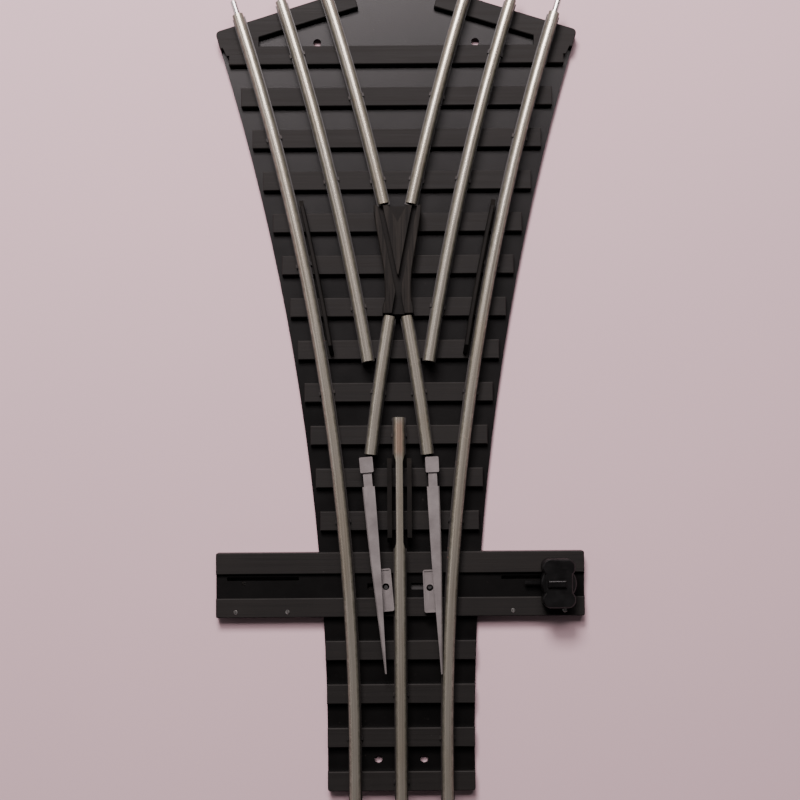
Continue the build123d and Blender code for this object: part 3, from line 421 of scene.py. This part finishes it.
def paint_all():
    """Every CAD node's material."""
    guards = ("left_guard_rail", "right_guard_rail", "left_center_guard", "right_center_guard")
    left_curve = ("left_stock_rail", "left_leg_center_rail", "left_leg_inner_rail", "right_closure_rail")
    right_curve = ("right_stock_rail", "right_leg_center_rail", "right_leg_inner_rail", "left_closure_rail")
    pivots = ("left_point_pivot", "right_point_pivot", "knob_shaft", "crank_pin")
    fasteners = ("rail_pins", "cover_rivets", "cover_screws", "drawbar_rivet")
    paint(moulded_base(), "tie_base")
    paint(black_fittings(), "frog", *guards)
    paint(tinplate("tinplate_left", LEFT_CURVE), *left_curve)
    paint(tinplate("tinplate_right", RIGHT_CURVE), *right_curve)
    paint(tinplate("tinplate_stem", None, BLUSH), "stem_center_rail")
    paint(die_cast(), "left_point", "right_point")
    paint(glossy_knob(), "throw_knob", "knob_pointer")
    paint(drawn_steel(), *pivots, *fasteners)
    paint(blued_clips(), "rail_clips")
    paint(sheet_darkened_as_shade(), "crank_disc", "drawbar", "mechanism_cover", "friction_spring")
    paint(moulded_nylon(), "throw_bar", "point_pegs", "knob_bush")
    paint(dull_brass(), "running_bus_strap", "center_bus_strap", "strap_rivets")


# --------------------------------------------------- floor, lights and camera
def pale_floor():
    """Large pale floor, a hair under the part."""
    mesh = bpy.data.meshes.new("floor")
    half = FLOOR_HALF
    corners = [(-half, -half, 0), (half, -half, 0), (half, half, 0), (-half, half, 0)]
    mesh.from_pydata(corners, [], [(0, 1, 2, 3)])
    floor = bpy.data.objects.new("floor", mesh)
    bpy.context.scene.collection.objects.link(floor)
    floor.location.z = -FLOOR_DROP
    s = Shader("pale_floor")
    mottled = s.noise(6, detail=3.0)
    s.set(colour=s.mix(mottled, FLOOR_DARK, FLOOR_LIGHT), rough=0.9, specular=0.1)
    mesh.materials.append(s.material)


def area_light(name, direction, distance, width, height, power, colour):
    """Soft light that looks at the middle of the part."""
    lamp = bpy.data.lights.new(name, "AREA")
    lamp.shape = "RECTANGLE"
    lamp.size = width
    lamp.size_y = height
    lamp.energy = power
    lamp.color = colour
    lamp_object = bpy.data.objects.new(name, lamp)
    bpy.context.scene.collection.objects.link(lamp_object)
    back = Vector(direction).normalized()
    lamp_object.location = back * distance
    lamp_object.rotation_euler = back.to_track_quat("Z", "Y").to_euler()


def light_room():
    """Window beyond the legs, a faint ceiling glow, weak lights at the sides, a dim room."""
    for light in LIGHTS:
        area_light(*light)
    world = bpy.data.worlds.new("room")
    bpy.context.scene.world = world
    world.use_nodes = True
    background = world.node_tree.nodes["Background"]
    background.inputs["Color"].default_value = ROOM_COLOUR
    background.inputs["Strength"].default_value = ROOM_STRENGTH


def add_camera():
    """Camera almost straight above, leaning a little towards the stem."""
    camera = bpy.data.cameras.new("camera")
    camera.lens = LENS
    camera.sensor_width = SENSOR
    camera.clip_start = NEAR_CLIP
    camera_object = bpy.data.objects.new("camera", camera)
    bpy.context.scene.collection.objects.link(camera_object)
    back = Vector((0, -math.sin(CAMERA_TILT), math.cos(CAMERA_TILT)))
    right = Vector((1, 0, 0))
    up = back.cross(right)
    turned_right = right * math.cos(CAMERA_ROLL) + up * math.sin(CAMERA_ROLL)
    turned_up = up * math.cos(CAMERA_ROLL) - right * math.sin(CAMERA_ROLL)
    axes = Matrix((turned_right, turned_up, back)).transposed().to_4x4()
    camera_object.matrix_world = Matrix.Translation(AIM + back * CAMERA_DISTANCE) @ axes
    bpy.context.scene.camera = camera_object


add_camera()
paint_all()
pale_floor()
light_room()
